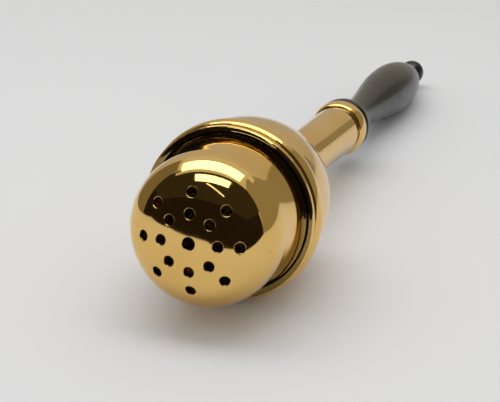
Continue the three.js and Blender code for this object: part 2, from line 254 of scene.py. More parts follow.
def sprinkler_sizes(context):
    """All sizes and places in metres: the user's own, and those that follow from how the pieces fit."""
    d = SimpleNamespace()
    for kind, group in (
        (SprinklerHeadSizes, context.scene.sprinkler_head),
        (SprinklerHandleSizes, context.scene.sprinkler_handle),
    ):
        for name in kind.__annotations__:
            setattr(d, name, getattr(group, name))

    # Radii that follow from the fits
    d.cap_bore = d.cap_radius - d.cap_wall
    d.cap_foot_radius = d.cap_radius + d.cap_flare
    d.thread_radius = d.cap_bore - d.fit_gap
    d.thread_core = d.thread_radius - d.thread_height
    d.female_root = d.thread_radius + d.fit_gap
    d.female_tip = d.thread_core + d.fit_gap
    d.washer_bore = d.thread_radius + d.fit_gap
    d.washer_radius = d.cap_foot_radius - d.washer_inset
    d.pocket_radius = d.washer_radius + d.fit_gap
    d.dish_start = d.cap_foot_radius + d.seat_margin
    d.lip_radius = d.dish_start + d.dish_width
    d.bowl_radius = d.lip_radius - d.bowl_step_in
    d.bowl_bore = d.bowl_radius - d.bowl_wall
    d.flange_spigot_radius = d.bowl_bore - d.fit_gap
    d.socket_bore = d.socket_front - d.socket_wall
    d.spigot_radius = d.socket_bore - d.fit_gap
    d.ferrule_bore = d.spigot_radius - d.ferrule_wall
    d.tenon_radius = d.ferrule_bore - d.fit_gap
    d.stud_hole = d.stud_radius + d.fit_gap

    # Places along the axis, from the cap to the flange
    d.drum_end = d.dome_depth + d.drum_length
    d.cap_foot = d.drum_end + d.cove_length
    d.seat_y = d.cap_foot + d.fit_gap
    d.pocket_floor = d.seat_y + d.washer_thickness + d.fit_gap
    d.lip_y = d.seat_y - d.dish_rise
    d.groove_start = d.lip_y + d.lip_length
    d.bead_start = d.groove_start + d.groove_width
    d.flange_back = d.bead_start + d.bead_length
    d.bowl_front = d.flange_back + d.fit_gap

    # The two thread ridges lie half a pitch apart, so that they run between each other.
    d.thread_root_width = 0.44 * d.thread_pitch
    d.thread_tip_width = 0.24 * d.thread_pitch
    d.male_start = d.pocket_floor + d.thread_root_width / 2 + d.fit_gap
    d.female_start = d.male_start + d.thread_pitch / 2
    thread_length = d.thread_pitch * d.thread_turns
    d.thread_ring_front = d.cap_foot - d.thread_ring_in_cap
    d.thread_ring_back = d.male_start + thread_length + d.thread_root_width / 2 + d.fit_gap
    d.flange_spigot_end = d.female_start + thread_length + d.thread_root_width / 2 + d.thread_relief

    # Places along the axis, from the neck to the handle
    d.boss_shoulder = bowl_inside(d, d.boss_radius) - d.fit_gap
    d.boss_front = d.boss_shoulder - d.boss_rim
    d.boss_back = bowl_outside(d, d.socket_bore) + d.boss_spigot
    d.boss_hole_bottom = d.boss_back - d.boss_hole
    d.sponge_front = d.flange_spigot_end + d.sponge_set_back
    d.sponge_back = d.boss_front - d.fit_gap
    d.socket_end = bowl_outside(d, d.socket_bore) + d.fit_gap + d.socket_length
    d.ferrule_shoulder = d.socket_end + d.fit_gap
    d.ferrule_bead_start = d.ferrule_shoulder + d.ferrule_groove_width
    d.ferrule_end = d.ferrule_bead_start + d.ferrule_bead_length
    d.handle_shoulder = d.ferrule_end + d.fit_gap
    d.neck_y = d.handle_shoulder + d.shoulder_length + d.handle_cove
    d.belly_y = d.neck_y + d.neck_to_belly
    d.pole = CAP_FOOT + OUTWARD * d.cap_foot
    return d


def bowl_surface(d, radius, equator, depth):
    return d.bowl_front + depth * math.sqrt(1 - (radius / equator) ** 2)


def bowl_outside(d, radius):
    """Distance along the axis where the bowl's outside has this radius."""
    return bowl_surface(d, radius, d.bowl_radius, d.bowl_length)


def bowl_inside(d, radius):
    return bowl_surface(d, radius, d.bowl_bore, d.bowl_length - d.bowl_wall)


# Outlines: lists of (radius, distance) points in metres. A third value rounds a corner with that radius.


def along(steps, place):
    """Points from a start to an end, where place gives the point at a share of the way."""
    return [place(i / steps) for i in range(steps + 1)]


def ellipse_arc(centre, radial, axial, start, end, steps):
    """Part of an ellipse about a point of the axis, between two angles from the axis."""

    def place(t):
        angle = start + (end - start) * t
        return (radial * math.sin(angle), centre + axial * math.cos(angle))

    return along(steps, place)


def dome_arc(d, radius, depth, steps):
    """A dome from its pole to the drum, with a shoulder fuller than an ellipse's."""

    def place(t):
        across = math.sin(t * math.pi / 2) ** (2 / d.dome_power)
        down = math.cos(t * math.pi / 2) ** (2 / d.dome_power)
        return (radius * across, d.dome_depth - depth * down)

    return along(steps, place)


def dome_drop(d, radius):
    """Distance along the axis from the pole to where the dome has this radius."""
    share = (radius / d.cap_shoulder) ** d.dome_power
    return d.dome_depth * (1 - (1 - share) ** (1 / d.dome_power))


def drum_radius(d, y):
    """Radius of the drum, which flares out to its edge."""
    share = (y - d.dome_depth) / d.drum_length
    return d.cap_shoulder + (d.cap_radius - d.cap_shoulder) * min(share, 1) ** d.drum_flare


def bead_arc(base, height, start, size, steps):
    """A half-round bead that stands on a cylinder."""
    return along(
        steps,
        lambda t: (base + height * math.sin(math.pi * t), start + size * (1 - math.cos(math.pi * t)) / 2),
    )


def swell(from_radius, to_radius, start, size, steps):
    """A smooth swell from one radius to another, level at both ends."""

    def place(t):
        share = (1 - math.cos(math.pi * t)) / 2
        return (from_radius + (to_radius - from_radius) * share, start + size * t)

    return along(steps, place)


def rounded(points, steps=5):
    """Rounds the corners that ask for it, each within the stretches beside it."""
    smooth = []
    for i, point in enumerate(points):
        corner = Vector(point[:2])
        if len(point) == 2:
            smooth.append(corner)
            continue
        before = Vector(points[i - 1][:2]) - corner
        after = Vector(points[(i + 1) % len(points)][:2]) - corner
        half = before.angle(after) / 2
        reach = min(point[2] / math.tan(half), 0.45 * before.length, 0.45 * after.length)
        centre = corner + (before.normalized() + after.normalized()).normalized() * reach / math.cos(half)
        start = corner + before.normalized() * reach - centre
        end = corner + after.normalized() * reach - centre
        smooth += [centre + start.slerp(end, t / steps) * start.length for t in range(steps + 1)]
    return smooth


def turned(name, outline, facets, closed=True):
    """Turns a piece: a point is drawn along the outline and spun round Y, as on a lathe."""
    points = rounded(outline)
    if closed:
        points.append(points[0])
    bpy.ops.object.select_all(action="DESELECT")
    bpy.ops.mesh.primitive_plane_add(size=MM)
    piece = bpy.context.object
    piece.name = piece.data.name = name
    bpy.ops.object.mode_set(mode="EDIT")
    bpy.ops.mesh.merge(type="CENTER")
    bpy.ops.transform.translate(value=(*points[0], 0))
    for start, end in zip(points, points[1:]):
        bpy.ops.mesh.extrude_vertices_move(TRANSFORM_OT_translate={"value": (*(end - start), 0)})
    bpy.ops.mesh.select_all(action="SELECT")
    bpy.ops.mesh.spin(steps=facets, angle=math.tau, center=(0, 0, 0), axis=(0, 1, 0))
    clean(piece)
    return piece


def clean(piece):
    """Merges doubles and turns the faces outwards. Ends in object mode."""
    select_only(piece)
    bpy.ops.object.mode_set(mode="EDIT")
    bpy.ops.mesh.select_all(action="SELECT")
    bpy.ops.mesh.remove_doubles(threshold=DOUBLE)
    bpy.ops.mesh.normals_make_consistent(inside=False)
    bpy.ops.object.mode_set(mode="OBJECT")


def select_only(piece):
    if bpy.context.mode != "OBJECT":
        bpy.ops.object.mode_set(mode="OBJECT")
    bpy.ops.object.select_all(action="DESELECT")
    piece.select_set(True)
    bpy.context.view_layer.objects.active = piece


def modify(piece, kind, **settings):
    """Adds a modifier and applies it."""
    select_only(piece)
    modifier = piece.modifiers.new(kind.title(), kind)
    for name, value in settings.items():
        setattr(modifier, name, value)
    bpy.ops.object.modifier_apply(modifier=modifier.name)


def combine(piece, tool, operation):
    """Joins a tool to a piece, or cuts with it, and removes the tool."""
    modify(piece, "BOOLEAN", operation=operation, solver="EXACT", object=tool)
    bpy.data.objects.remove(tool)


def move_mesh(piece, location=(0, 0, 0), rotation=(0, 0, 0)):
    """Moves a piece by its mesh, so that its object stays at the origin, unturned."""
    select_only(piece)
    piece.location = location
    piece.rotation_euler = rotation
    bpy.ops.object.transform_apply(location=True, rotation=True, scale=True)


def smooth_shade(piece):
    """Smooth between sharp edges, with the large faces keeping their own direction."""
    select_only(piece)
    bpy.ops.object.shade_smooth_by_angle(angle=SMOOTH_ANGLE)
    modify(piece, "WEIGHTED_NORMAL", mode="FACE_AREA", weight=50, keep_sharp=True)


def seat(piece, d, body, slot_name, material, *nodes):
    """Puts a finished turning where the sprinkler lies, gives it its material, hangs it on its body and hides
    the CAD parts it stands for.
    """
    move_mesh(piece, d.pole, (TILT, 0, 0))
    piece.data.materials.clear()
    piece.data.materials.append(material)
    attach(piece, body)
    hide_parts(*nodes)
    return piece


def thread_ridge(name, d, root, tip, start):
    """A thread's ridge: its section is screwed round Y, and its height runs out at both ends."""
    sunk = THREAD_SUNK if tip > root else -THREAD_SUNK
    bpy.ops.object.select_all(action="DESELECT")
    bpy.ops.mesh.primitive_plane_add(size=MM)
    ridge = bpy.context.object
    ridge.name = ridge.data.name = name
    section = rounded(
        [
            (root - sunk, start - d.thread_root_width / 2),
            (root, start - d.thread_root_width / 2),
            (tip, start - d.thread_tip_width / 2, THREAD_ROUND),
            (tip, start + d.thread_tip_width / 2, THREAD_ROUND),
            (root, start + d.thread_root_width / 2),
            (root - sunk, start + d.thread_root_width / 2),
        ],
        2,
    )
    bpy.ops.object.mode_set(mode="EDIT")
    bpy.ops.mesh.merge(type="CENTER")
    bpy.ops.transform.translate(value=(*section[0], 0))
    for before, after in zip(section, section[1:] + section[:1]):
        bpy.ops.mesh.extrude_vertices_move(TRANSFORM_OT_translate={"value": (*(after - before), 0)})
    bpy.ops.mesh.select_all(action="SELECT")
    bpy.ops.mesh.remove_doubles(threshold=DOUBLE)
    bpy.ops.object.mode_set(mode="OBJECT")
    modify(
        ridge,
        "SCREW",
        axis="Y",
        angle=math.tau,
        screw_offset=d.thread_pitch,
        iterations=d.thread_turns,
        steps=THREAD_FACETS,
        render_steps=THREAD_FACETS,
        use_merge_vertices=False,
    )
    # The run-out: each end's section is drawn in level with the wall, and its neighbours follow.
    drawn_in = (root - sunk / 3) / tip
    for turns in (0, d.thread_turns):
        end = start + d.thread_pitch * turns
        select_only(ridge)
        bpy.ops.object.mode_set(mode="EDIT")
        bpy.ops.mesh.select_mode(type="VERT")
        bpy.ops.mesh.select_all(action="DESELECT")
        bpy.ops.object.mode_set(mode="OBJECT")
        for vertex in ridge.data.vertices:
            x, y, z = vertex.co
            vertex.select = abs(z) < DOUBLE and x > 0 and abs(y - end) < d.thread_root_width / 2 + DOUBLE
        bpy.ops.object.mode_set(mode="EDIT")
        bpy.ops.transform.resize(
            value=(drawn_in, 1, drawn_in),
            center_override=(0, 0, 0),
            use_proportional_edit=True,
            proportional_edit_falloff="LINEAR",
            proportional_size=tip * math.tau / 8,
            use_proportional_connected=True,
        )
        bpy.ops.mesh.edge_face_add()
        bpy.ops.object.mode_set(mode="OBJECT")
    clean(ridge)
    move_mesh(ridge, rotation=(0, THREAD_PHASE - math.pi / 2, 0))
    return ridge


class SPRINKLER_OT_cap(bpy.types.Operator):
    """Spun cap: a dome with seventeen holes, a flared drum, a crisp edge and a cove down to its foot"""

    bl_idname = "sprinkler.cap"
    bl_label = "Perforated Cap"

    def execute(self, context):
        d = sprinkler_sizes(context)

        def drum(t):
            y = d.dome_depth + d.drum_length * t
            return (drum_radius(d, y), y)

        outline = [
            *dome_arc(d, d.cap_shoulder, d.dome_depth, 72),
            *along(16, drum)[1:-1],
            (d.cap_radius, d.drum_end, 0.12 * MM),
            *along(
                14,
                lambda t: (
                    d.cap_radius - d.cove_depth + (d.cap_flare + d.cove_depth) * t**2,
                    d.drum_end + 0.1 * MM + (d.cove_length - 0.15 * MM) * t,
                ),
            ),
            (d.cap_foot_radius, d.cap_foot, 0.05 * MM),
            (d.cap_bore, d.cap_foot, 0.15 * MM),
            (d.cap_bore, d.thread_ring_front - 2 * d.fit_gap, 1 * MM),
            *reversed(dome_arc(d, d.cap_shoulder - d.cap_wall, d.dome_depth - d.cap_wall, 48)),
        ]
        cap = turned("perforated_cap", outline, HEAD_FACETS, closed=False)
        select_only(cap)
        bpy.ops.object.duplicate()
        uncut = context.object
        smooth_shade(uncut)
        combine(cap, self.drills(d), "DIFFERENCE")
        clean(cap)
        skin = cap.vertex_groups.new(name="skin")
        on_skin = [v.index for v in cap.data.vertices if self.above_skin(d, v.co) > -SKIN_REACH]
        skin.add(on_skin, 1, "REPLACE")
        select_only(cap)
        bpy.ops.object.shade_smooth_by_angle(angle=SMOOTH_ANGLE)
        modify(
            cap,
            "DATA_TRANSFER",
            object=uncut,
            use_loop_data=True,
            data_types_loops={"CUSTOM_NORMAL"},
            loop_mapping="POLYINTERP_NEAREST",
            vertex_group="skin",
        )
        bpy.data.objects.remove(uncut)
        seat(cap, d, CAP, "polished_brass", polished_brass(context, d), "sprinkler_cap")
        return {"FINISHED"}

    def above_skin(self, d, point):
        """Height of a point above the dome or drum, about square to it. Below the skin it is negative."""
        radius = math.hypot(point.x, point.z)
        if point.y > d.dome_depth:
            return radius - drum_radius(d, point.y)
        across = (radius / d.cap_shoulder) ** d.dome_power
        down = (1 - point.y / d.dome_depth) ** d.dome_power
        return ((across + down) ** (1 / d.dome_power) - 1) * d.dome_depth

    def drills(self, d):
        """The drills in one piece: one for the pole and one for each hole of the two circles."""
        drills = [self.drill(d, 0, d.centre_hole, 0)]
        for circle in (d.inner_circle, d.outer_circle):
            first = self.drill(d, circle, d.ring_hole, 0)
            drills.append(first)
            for i in range(1, d.holes_per_circle):
                select_only(first)
                bpy.ops.object.duplicate()
                move_mesh(bpy.context.object, rotation=(0, math.tau * i / d.holes_per_circle, 0))
                drills.append(bpy.context.object)
        select_only(drills[0])
        for drill in drills:
            drill.select_set(True)
        bpy.ops.object.join()
        return bpy.context.object

    def drill(self, d, circle, radius, spoke):
        """A drill with a round shoulder that leaves the rim of the hole softly rounded by the polishing."""
        depth = dome_drop(d, circle)
        share = circle / d.cap_shoulder / (1 - depth / d.dome_depth)
        slope = d.dome_depth / d.cap_shoulder * share ** (d.dome_power - 1)
        lean = math.atan(slope)
        # How far the dome falls away from the drill's foot round the hole, outwards, inwards and sideways
        reach = (radius + HOLE_ROUND) * math.cos(lean)
        falls = (
            dome_drop(d, circle + reach) - depth - slope * reach,
            dome_drop(d, abs(circle - reach)) - depth + slope * reach,
            dome_drop(d, math.hypot(circle, radius + HOLE_ROUND)) - depth,
        )
        top = sum(falls) / 3 * math.cos(lean) + 0.002 * MM
        outline = [
            (0, -d.cap_wall),
            (radius + HOLE_ROUND * 1.6, -d.cap_wall),
            (radius + HOLE_ROUND * 1.6, top - HOLE_ROUND * 0.09),
            *[
                (radius + HOLE_ROUND * (1 - math.cos(angle)), top + HOLE_ROUND * (1 - math.sin(angle)))
                for angle in along(8, lambda t: math.radians(80) * (1 - t))
            ],
            (radius, d.cap_wall * 3),
            (0, d.cap_wall * 3),
        ]
        drill = turned("drill", outline, HOLE_FACETS, closed=False)
        move_mesh(drill, rotation=(-lean, 0, 0))
        move_mesh(drill, location=(0, depth, circle))
        return drill


class SPRINKLER_OT_thread_ring(bpy.types.Operator):
    """Screw ring soldered into the cap, with a right-handed thread"""

    bl_idname = "sprinkler.thread_ring"
    bl_label = "Cap Thread Ring"

    def execute(self, context):
        d = sprinkler_sizes(context)
        bore = d.thread_core - d.thread_ring_wall
        outline = [
            (bore, d.thread_ring_front, 0.3 * MM),
            (d.thread_radius, d.thread_ring_front, 0.3 * MM),
            (d.thread_radius, d.seat_y, 0.1 * MM),
            (d.thread_core, d.seat_y + d.thread_height),
            (d.thread_core, d.thread_ring_back, 0.4 * MM),
            (bore, d.thread_ring_back, 0.3 * MM),
        ]
        ring = turned("cap_screw_ring", outline, 2 * THREAD_FACETS)
        ridge = thread_ridge("male_thread", d, d.thread_core, d.thread_radius, d.male_start)
        combine(ring, ridge, "UNION")
        clean(ring)
        smooth_shade(ring)
        seat(ring, d, CAP, "turned_brass", turned_brass(context, d), "cap_thread_ring")
        return {"FINISHED"}


class SPRINKLER_OT_washer(bpy.types.Operator):
    """Leather washer under the cap's foot"""

    bl_idname = "sprinkler.washer"
    bl_label = "Leather Washer"

    def execute(self, context):
        d = sprinkler_sizes(context)
        back = d.seat_y + d.washer_thickness
        outline = [
            (d.washer_bore, d.seat_y, 0.15 * MM),
            (d.washer_radius, d.seat_y, 0.25 * MM),
            (d.washer_radius, back, 0.25 * MM),
            (d.washer_bore, back, 0.15 * MM),
        ]
        washer = turned("leather_washer", outline, HEAD_FACETS)
        smooth_shade(washer)
        seat(washer, d, SEAL, "washer_leather", oiled_leather(context, d), "seal_washer")
        return {"FINISHED"}


class SPRINKLER_OT_flange(bpy.types.Operator):
    """Turned flange ring: dished front, lip, groove and half-round bead, with the female thread inside"""

    bl_idname = "sprinkler.flange"
    bl_label = "Flange Ring"

    def execute(self, context):
        d = sprinkler_sizes(context)
        groove = d.lip_radius - d.groove_depth
        outline = [
            (d.female_root, d.pocket_floor),
            (d.pocket_radius, d.pocket_floor),
            (d.pocket_radius, d.seat_y, 0.08 * MM),
            (d.dish_start, d.seat_y, 0.3 * MM),
            (d.lip_radius - LIP_ROUND, d.lip_y, 0.12 * MM),
            (d.lip_radius, d.lip_y + LIP_ROUND, 0.25 * MM),
            (d.lip_radius, d.groove_start, 0.15 * MM),
            (groove, d.groove_start, 0.12 * MM),
            (groove, d.bead_start, 0.12 * MM),
            *bead_arc(d.bowl_radius, d.bead_height, d.bead_start, d.bead_length, 28),
            (d.flange_spigot_radius, d.flange_back, 0.1 * MM),
            (d.flange_spigot_radius, d.flange_spigot_end, 0.2 * MM),
            (d.female_root, d.flange_spigot_end, 0.1 * MM),
        ]
        flange = turned("flange_ring", outline, HEAD_FACETS)
        ridge = thread_ridge("female_thread", d, d.female_root, d.female_tip, d.female_start)
        combine(flange, ridge, "UNION")
        clean(flange)
        smooth_shade(flange)
        seat(flange, d, HOLDER, "polished_brass", polished_brass(context, d), "bowl_flange_ring")
        return {"FINISHED"}


class SPRINKLER_OT_bowl(bpy.types.Operator):
    """Spun bowl, half an egg, soldered to the flange ring"""

    bl_idname = "sprinkler.bowl"
    bl_label = "Bowl"

    def execute(self, context):
        d = sprinkler_sizes(context)
        quarter = math.pi / 2
        outside_end = math.asin(d.socket_bore / d.bowl_radius)
        inside_end = math.asin(d.socket_bore / d.bowl_bore)
        front = d.flange_back + TIGHT_GAP
        outline = [
            (d.bowl_bore, front),
            (d.bowl_radius, front, 0.08 * MM),
            *ellipse_arc(d.bowl_front, d.bowl_radius, d.bowl_length, quarter, outside_end, 60),
            *ellipse_arc(d.bowl_front, d.bowl_bore, d.bowl_length - d.bowl_wall, inside_end, quarter, 40),
        ]
        bowl = turned("egg_bowl", outline, HEAD_FACETS)
        smooth_shade(bowl)
        seat(bowl, d, HOLDER, "polished_brass", polished_brass(context, d), "rear_bowl")
        return {"FINISHED"}


class SPRINKLER_OT_sponge(bpy.types.Operator):
    """Open-pored cellulose sponge that holds the water in the bowl"""

    bl_idname = "sprinkler.sponge"
    bl_label = "Sponge"

    def execute(self, context):
        d = sprinkler_sizes(context)
        side = d.bowl_bore - d.fit_gap
        reach = d.bowl_length - d.bowl_wall - d.fit_gap
        outline = [
            (0, d.sponge_front),
            *ellipse_arc(
                d.bowl_front,
                side,
                reach,
                math.acos((d.sponge_front - d.bowl_front) / reach),
                math.acos((d.sponge_back - d.bowl_front) / reach),
                16,
            ),
            (0, d.sponge_back),
        ]
        sponge = turned("cellulose_sponge", outline, SMALL_FACETS, closed=False)
        modify(sponge, "REMESH", mode="VOXEL", voxel_size=SPONGE_VOXEL)
        # Large pores and small ones, both pressed into the skin
        for pore, depth in ((3.2 * MM, 1.6 * MM), (1.5 * MM, 0.7 * MM)):
            texture = bpy.data.textures.new("pores", "VORONOI")
            texture.noise_scale = pore
            texture.intensity = 1
            modify(
                sponge,
                "DISPLACE",
                texture=texture,
                texture_coords="OBJECT",
                direction="NORMAL",
                mid_level=1,
                strength=depth,
            )
        bpy.ops.object.shade_smooth()
        seat(sponge, d, HOLDER, "sponge", cellulose(context, d), "sponge")
        return {"FINISHED"}


class SPRINKLER_OT_neck_boss(bpy.types.Operator):
    """Boss that closes the bowl's neck and takes the stud"""

    bl_idname = "sprinkler.neck_boss"
    bl_label = "Neck Boss"

    def execute(self, context):
        d = sprinkler_sizes(context)
        outline = [
            (0, d.boss_front),
            (d.boss_radius, d.boss_front, 0.5 * MM),
            (d.boss_radius, d.boss_shoulder, 0.1 * MM),
            (d.spigot_radius, bowl_inside(d, d.spigot_radius) - d.fit_gap, 0.1 * MM),
            (d.spigot_radius, d.boss_back, 0.4 * MM),
            (d.stud_hole, d.boss_back, 0.3 * MM),
            (d.stud_hole, d.boss_hole_bottom),
            (0, d.boss_hole_bottom),
        ]
        boss = turned("bowl_neck_boss", outline, HANDLE_FACETS, closed=False)
        smooth_shade(boss)
        seat(boss, d, HOLDER, "turned_brass", turned_brass(context, d), "neck_boss")
        return {"FINISHED"}


class SPRINKLER_OT_socket_tube(bpy.types.Operator):
    """Slim tube between bowl and ferrule, with its solder fillet on the bowl"""

    bl_idname = "sprinkler.socket_tube"
    bl_label = "Socket Tube"

    def execute(self, context):
        d = sprinkler_sizes(context)

        def fillet(t):
            radius = d.socket_front + SOLDER_FILLET * (1 - math.sin(t * math.pi / 2))
            rise = SOLDER_FILLET * (1 - math.cos(t * math.pi / 2))
            return (radius, bowl_outside(d, radius) + TIGHT_GAP + rise)

        outline = [
            (d.socket_bore, bowl_outside(d, d.socket_bore) + TIGHT_GAP),
            *along(8, fillet),
            (d.socket_rear, d.ferrule_shoulder - TIGHT_GAP, 0.12 * MM),
            (d.socket_bore, d.ferrule_shoulder - TIGHT_GAP),
        ]
        tube = turned("handle_socket_tube", outline, HANDLE_FACETS)
        smooth_shade(tube)
        seat(tube, d, HOLDER, "polished_brass", polished_brass(context, d), "socket_tube")
        return {"FINISHED"}


class SPRINKLER_OT_ferrule(bpy.types.Operator):
    """Turned ferrule with a groove and a half-round bead"""

    bl_idname = "sprinkler.ferrule"
    bl_label = "Ferrule"

    def execute(self, context):
        d = sprinkler_sizes(context)
        groove = d.socket_rear - d.ferrule_groove_depth
        outline = [
            (d.ferrule_bore, d.ferrule_shoulder - d.ferrule_spigot, 0.2 * MM),
            (d.spigot_radius, d.ferrule_shoulder - d.ferrule_spigot, 0.3 * MM),
            (d.spigot_radius, d.ferrule_shoulder),
            (groove, d.ferrule_shoulder),
            (groove, d.ferrule_bead_start, 0.2 * MM),
            *bead_arc(d.socket_rear, d.ferrule_bead_height, d.ferrule_bead_start, d.ferrule_bead_length, 32),
            (d.ferrule_bore, d.ferrule_end),
        ]
        ferrule = turned("beaded_ferrule", outline, HANDLE_FACETS)
        smooth_shade(ferrule)
        seat(ferrule, d, HOLDER, "polished_brass", polished_brass(context, d), "ferrule_ring")
        return {"FINISHED"}


class SPRINKLER_OT_stud(bpy.types.Operator):
    """Threaded stud from the neck boss into the handle, with its washer and nut"""

    bl_idname = "sprinkler.stud"
    bl_label = "Stud, Washer and Nut"

    def execute(self, context):
        d = sprinkler_sizes(context)
        steel = zinc_plated_steel(context, d)

        front = d.boss_hole_bottom + d.fit_gap
        back = d.handle_shoulder + d.stud_in_handle
        core = d.stud_radius - STUD_THREAD_DEPTH
        turns = math.floor((back - front - d.stud_radius) / STUD_PITCH)
        start = front + (back - front - turns * STUD_PITCH) / 2
        outline = [(0, front), (core * 0.8, front)]
        outline += [
            point
            for i in range(turns)
            for point in (
                (core, start + STUD_PITCH * i),
                (d.stud_radius, start + STUD_PITCH * (i + 0.45)),
                (d.stud_radius, start + STUD_PITCH * (i + 0.55)),
            )
        ]
        outline += [(core, start + STUD_PITCH * turns), (core * 0.8, back), (0, back)]
        stud = turned("threaded_stud", outline, STUD_FACETS, closed=False)
        self.lead(stud, start, start + STUD_PITCH * turns)
        smooth_shade(stud)
        seat(stud, d, HOLDER, "stud_steel", steel, "handle_stud")

        washer_front = d.boss_back + d.fit_gap
        washer_back = washer_front + d.stud_washer_thickness
        outline = [
            (d.stud_hole, washer_front, 0.1 * MM),
            (d.stud_washer, washer_front, 0.2 * MM),
            (d.stud_washer, washer_back, 0.1 * MM),
            (d.stud_hole, washer_back, 0.1 * MM),
        ]
        washer = turned("flat_washer", outline, SMALL_FACETS)
        smooth_shade(washer)
        seat(washer, d, HOLDER, "stud_steel", steel, "stud_washer")

        nut_front = washer_back + d.fit_gap
        nut = self.hexagon(d, nut_front)
        smooth_shade(nut)
        seat(nut, d, HOLDER, "stud_steel", steel, "stud_nut")
        return {"FINISHED"}

    def lead(self, stud, start, end):
        """Draws each vertex along by its share of a turn: the grooves become a right-handed thread."""
        for vertex in stud.data.vertices:
            if start - DOUBLE < vertex.co.y < end + DOUBLE and vertex.co.xz.length > DOUBLE:
                share = math.atan2(vertex.co.x, vertex.co.z) / math.tau
                ease = min(1, (vertex.co.y - start) / STUD_PITCH, (end - vertex.co.y) / STUD_PITCH)
                vertex.co.y += STUD_PITCH * share * max(0, ease)

    def hexagon(self, d, front):
        """A hexagon, bored, with its corners turned off at both ends."""
        corner = d.nut_flats / math.sqrt(3)
        bpy.ops.object.select_all(action="DESELECT")
        bpy.ops.mesh.primitive_cylinder_add(vertices=6, radius=corner, depth=d.nut_thickness)
        nut = bpy.context.object
        nut.name = nut.data.name = "hexagon_nut"
        move_mesh(nut, (0, front + d.nut_thickness / 2, 0), (math.pi / 2, 0, 0))
        chamfer = (corner - d.nut_flats / 2) / 2
        back = front + d.nut_thickness
        blank = turned(
            "nut_blank",
            [
                (d.stud_hole, front),
                (d.nut_flats / 2, front),
                (corner * 1.01, front + chamfer),
                (corner * 1.01, back - chamfer),
                (d.nut_flats / 2, back),
                (d.stud_hole, back),
            ],
            SMALL_FACETS,
        )
        combine(nut, blank, "INTERSECT")
        clean(nut)
        return nut


class SPRINKLER_OT_handle(bpy.types.Operator):
    """One turning of ebonised wood: tenon, shoulder, cove, belly and button finial"""

    bl_idname = "sprinkler.handle"
    bl_label = "Wooden Handle"

    def execute(self, context):
        d = sprinkler_sizes(context)
        tip_share = math.sqrt(1 - d.finial_neck_radius / d.belly_radius)
        finial_neck = d.belly_y + d.belly_to_tip * tip_share
        neck_angle = math.asin(d.finial_neck_radius / d.finial_radius)
        flat_angle = math.asin(d.finial_flat / d.finial_radius)
        finial = finial_neck + d.finial_neck_length + d.finial_half * math.cos(neck_angle)
        rim = d.shoulder_radius - LIP_ROUND
        front = d.ferrule_end + TIGHT_GAP
        cove_start = d.handle_shoulder + d.shoulder_length

        def belly_end(t):
            share = tip_share * math.sin(t * math.pi / 2)
            return (d.belly_radius * (1 - share**2), d.belly_y + d.belly_to_tip * share)

        outline = [
            (0, d.handle_shoulder + d.stud_in_handle + d.fit_gap),
            (d.stud_hole, d.handle_shoulder + d.stud_in_handle + d.fit_gap),
            (d.stud_hole, d.handle_shoulder - d.tenon_length),
            (d.tenon_radius, d.handle_shoulder - d.tenon_length, 0.5 * MM),
            (d.tenon_radius, front),
            *bead_arc(rim, LIP_ROUND, front, cove_start - front, 12),
            *swell(rim, d.neck_radius, cove_start, d.handle_cove, 32)[1:],
            *swell(d.neck_radius, d.belly_radius, d.neck_y, d.neck_to_belly, 48)[1:],
            *along(40, belly_end)[1:],
            *ellipse_arc(finial, d.finial_radius, -d.finial_half, neck_angle, math.pi / 2, 14),
            *ellipse_arc(finial, d.finial_radius, d.finial_half, math.pi / 2, flat_angle, 14)[1:],
            (0, finial + d.finial_half * math.cos(flat_angle)),
        ]
        handle = turned("turned_handle", outline, HANDLE_FACETS, closed=False)
        smooth_shade(handle)
        seat(handle, d, HOLDER, "blackened_wood", ebonised_wood(context, d), "wood_handle")
        return {"FINISHED"}


# Finishes. Each reads Object coordinates in metres, and a Mapping node turns them to the sprinkler's axis.


def add_node(tree, kind, inputs=None, **settings):
    """Adds a node with its settings, and gives each named input a value or a link."""
    node = tree.nodes.new(kind)
    for name, value in settings.items():
        setattr(node, name, value)
    for name, value in (inputs or {}).items():
        if isinstance(value, bpy.types.NodeSocket):
            tree.links.new(value, node.inputs[name])
        else:
            node.inputs[name].default_value = value
    return node


def blank_material(name):
    material = bpy.data.materials.new(name)
    material.use_nodes = True
    material.node_tree.nodes.clear()
    return material, material.node_tree


def along_axis(tree, d):
    """Coordinates whose Y runs along the sprinkler's axis from the pole of the dome."""
    place = add_node(tree, "ShaderNodeTexCoord").outputs["Object"]
    return add_node(
        tree,
        "ShaderNodeMapping",
        {"Vector": place, "Location": d.pole, "Rotation": (TILT, 0, 0)},
        vector_type="TEXTURE",
    ).outputs["Vector"]


def round_axis(tree, place, drawn_out):
    """Coordinates of radius, distance and angle, so that a pattern is drawn out round the piece."""
    parts = add_node(tree, "ShaderNodeSeparateXYZ", {"Vector": place})
    x, y, z = (parts.outputs[axis] for axis in "XYZ")
    across = add_node(tree, "ShaderNodeCombineXYZ", {"X": x, "Z": z}).outputs["Vector"]
    radius = add_node(tree, "ShaderNodeVectorMath", {"Vector": across}, operation="LENGTH").outputs["Value"]
    angle = add_node(tree, "ShaderNodeMath", {0: x, 1: z}, operation="ARCTAN2").outputs["Value"]
    arc = add_node(tree, "ShaderNodeMath", {0: angle, 1: drawn_out}, operation="MULTIPLY").outputs["Value"]
    return add_node(tree, "ShaderNodeCombineXYZ", {"X": radius, "Y": y, "Z": arc}).outputs["Vector"]


def noise(tree, place, size, detail=2.0, roughness=0.5):
    """A noise between 0 and 1 whose features have this size in metres."""
    return add_node(
        tree,
        "ShaderNodeTexNoise",
        {"Vector": place, "Scale": 1 / size, "Detail": detail, "Roughness": roughness},
    ).outputs["Fac"]


def cells(tree, place, size):
    """Round cells of about this size in metres: 0 in the middle of each, more towards its border."""
    return add_node(tree, "ShaderNodeTexVoronoi", {"Vector": place, "Scale": 1 / size}).outputs["Distance"]


